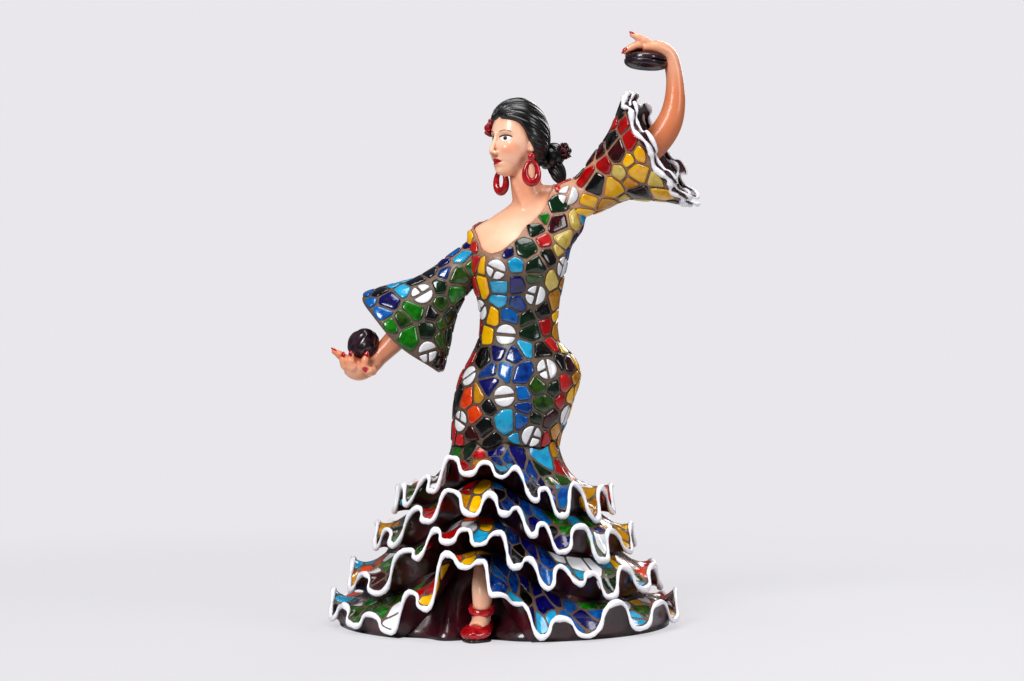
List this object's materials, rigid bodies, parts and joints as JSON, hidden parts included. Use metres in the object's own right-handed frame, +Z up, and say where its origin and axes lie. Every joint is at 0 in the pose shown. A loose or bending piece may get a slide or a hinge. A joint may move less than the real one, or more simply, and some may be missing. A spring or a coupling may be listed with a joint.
{
  "type": "souvenir figurine",
  "caption": "Standing dancer figurine in a flounced mosaic dress, one arm raised and one lowered, holding castanets, on a flat base.",
  "frame": {"origin": "middle of the figurine's outline on the surface that it stands on", "axes": "+Z up, the dancer faces -Y, the raised arm reaches towards +X"},
  "size_m": [0.1325, 0.125, 0.2098],
  "materials": {
    "dress_mosaic": "painted broken-tile mosaic, clear gloss varnish",
    "maroon_lining": "maroon paint, satin varnish",
    "white_edge": "white paint, satin varnish",
    "skin": "painted skin tone, gloss varnish",
    "black_hair": "black paint, gloss varnish",
    "red_enamel": "red enamel paint, gloss varnish",
    "dark_flower": "black-red paint, gloss varnish",
    "castanet": "dark plum paint, gloss varnish",
    "shoe_sole": "dark painted resin, matt"
  },
  "bodies": {
    "root": {"underskirt": "maroon_lining", "dress_sheath": "dress_mosaic", "bust_and_neck": "skin", "raised_sleeve": "dress_mosaic", "raised_sleeve_frill": "maroon_lining", "lowered_sleeve": "dress_mosaic", "raised_castanet_upper": "castanet", "raised_castanet_lower": "castanet", "lowered_castanet_front": "castanet", "lowered_castanet_back": "castanet", "raised_forearm": "skin", "lowered_forearm": "skin", "head": "skin", "hair_cap": "black_hair", "hair_bun": "black_hair", "hair_tail": "black_hair", "hair_flower": "dark_flower", "side_flower": "red_enamel", "near_earring": "red_enamel", "far_earring": "red_enamel", "leg": "skin", "shoe": "red_enamel", "shoe_sole": "shoe_sole", "flounce_1": "dress_mosaic", "flounce_trim_1": "white_edge", "flounce_2": "dress_mosaic", "flounce_trim_2": "white_edge", "flounce_3": "dress_mosaic", "flounce_trim_3": "white_edge", "flounce_4": "dress_mosaic", "flounce_trim_4": "white_edge"}
  },
  "joints": []
}
